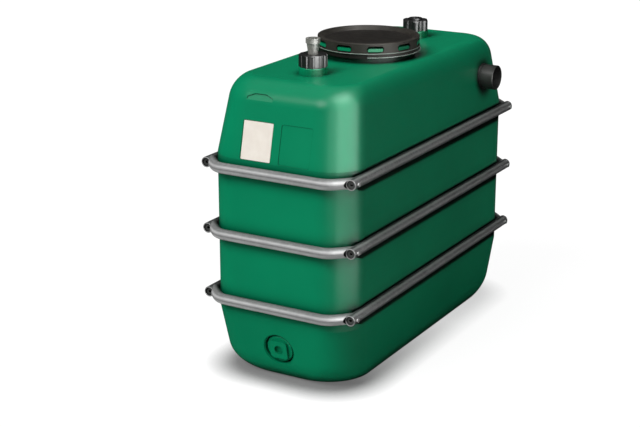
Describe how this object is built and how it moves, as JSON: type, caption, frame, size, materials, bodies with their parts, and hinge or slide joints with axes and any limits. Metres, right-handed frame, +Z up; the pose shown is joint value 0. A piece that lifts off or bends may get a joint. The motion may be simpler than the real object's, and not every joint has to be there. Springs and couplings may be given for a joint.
{
  "type": "rainwater tank",
  "caption": "Tall rounded plastic rainwater tank with a screwed manhole lid, filler riser, overflow stub and drain plug, held by galvanised tube hoops.",
  "frame": {"origin": "on the floor, at the middle of the tank's base", "axes": "+Z up, +Y along the tank from its front to its back, +X towards the overflow side"},
  "size_m": [0.7473, 1.6556, 1.398],
  "materials": {
    "green_shell": "satin moulded polyethylene, deep green",
    "lid_black": "satin black moulded plastic",
    "cap_black": "matt black moulded plastic",
    "pipe_grey": "grey drain-pipe plastic",
    "galvanised": "hot-dip galvanised steel tube",
    "bolt_steel": "zinc-plated steel bolts"
  },
  "bodies": {
    "root": {"tank_base": "green_shell", "front_wall": "green_shell", "back_wall": "green_shell", "left_wall": "green_shell", "right_wall": "green_shell", "tank_roof": "green_shell", "manhole_neck": "green_shell", "filler_spigot": "green_shell", "spare_spigot": "green_shell", "drain_rim": "green_shell", "drain_plug": "green_shell", "lid_flange": "lid_black", "lid_ring": "lid_black", "lid_disc": "lid_black", "filler_nut": "cap_black", "spare_cap": "cap_black", "overflow_stub": "cap_black", "riser_pipe": "pipe_grey", "riser_ring": "pipe_grey", "lower_hoop_front_tube": "galvanised", "lower_hoop_back_tube": "galvanised", "lower_hoop_left_tube": "galvanised", "lower_hoop_right_tube": "galvanised", "lower_hoop_bolts": "bolt_steel", "lower_hoop_plugs": "pipe_grey", "middle_hoop_front_tube": "galvanised", "middle_hoop_back_tube": "galvanised", "middle_hoop_left_tube": "galvanised", "middle_hoop_right_tube": "galvanised", "middle_hoop_bolts": "bolt_steel", "middle_hoop_plugs": "pipe_grey", "upper_hoop_front_tube": "galvanised", "upper_hoop_back_tube": "galvanised", "upper_hoop_left_tube": "galvanised", "upper_hoop_right_tube": "galvanised", "upper_hoop_bolts": "bolt_steel", "upper_hoop_plugs": "pipe_grey"}
  },
  "joints": []
}
